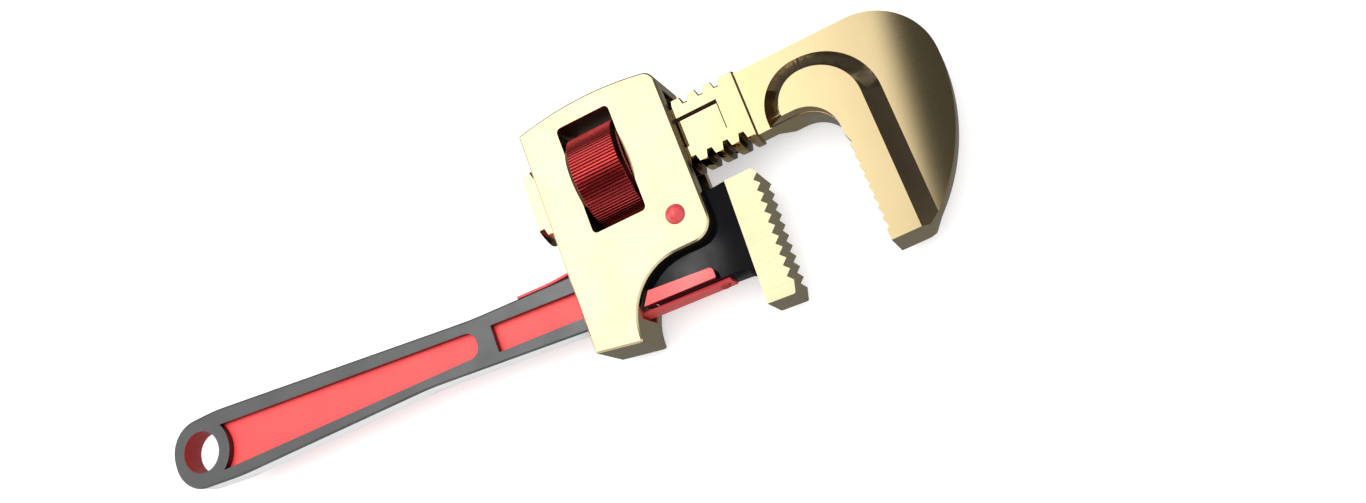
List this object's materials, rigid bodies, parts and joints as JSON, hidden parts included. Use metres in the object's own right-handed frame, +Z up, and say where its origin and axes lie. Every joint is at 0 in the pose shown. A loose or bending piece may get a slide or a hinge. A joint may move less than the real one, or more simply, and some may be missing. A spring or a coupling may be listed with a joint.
{
  "type": "pipe wrench",
  "caption": "Adjustable pipe wrench with a rocking housing, a knurled nut on a threaded hook jaw, a toothed heel jaw and a flat handle with a hang hole.",
  "frame": {"origin": "bottom centre of the whole wrench's box as it lies on its side with the jaws 34 mm apart", "axes": "+X along the threaded shank towards the jaws, +Y in the wrench's plane towards the back of the hook jaw, +Z up through the thickness"},
  "size_m": [0.345, 0.1026, 0.038],
  "materials": {
    "handle": "satin forged steel, shallow recesses painted coral red",
    "jaw_steel": "pale gold satin",
    "hook_jaw": "polished pale gold",
    "housing": "smooth pale cream gold",
    "nut": "dark metallic red, knurled",
    "red_pin": "gloss red",
    "spring_steel": "red spring strip"
  },
  "bodies": {
    "handle": {"handle": "handle", "upper_leaf_spring": "spring_steel", "lower_leaf_spring": "spring_steel", "leaf_spring_rivets": "handle", "pivot_pin": "red_pin", "heel_jaw": "jaw_steel", "heel_jaw_pin": "jaw_steel"},
    "housing": {"housing": "housing", "shank_leaf_spring": "spring_steel", "shank_spring_rivet": "handle"},
    "adjusting_nut": {"adjusting_nut": "nut"},
    "hook_jaw": {"hook_jaw": "hook_jaw"}
  },
  "joints": [
    {"name": "housing_rock", "type": "hinge", "parent": "handle", "child": "housing", "pos_m": [0.06435, -0.00702, 0.019], "axis": [0, 0, 1], "range_deg": [-1.8, 2], "stiffness_Nm_per_rad": 12},
    {"name": "jaw_slide", "type": "slide", "parent": "housing", "child": "hook_jaw", "axis": [1, 0, 0], "range_m": [-0.033, 0.02]},
    {"name": "nut_turn", "type": "hinge", "parent": "housing", "child": "adjusting_nut", "pos_m": [0.044, 0.02228, 0.019], "axis": [1, 0, 0], "range_deg": [-1110, 1830]}
  ],
  "couplings": [
    {"joint": "nut_turn", "follows": "jaw_slide", "rad_per_m": -966.64}
  ]
}
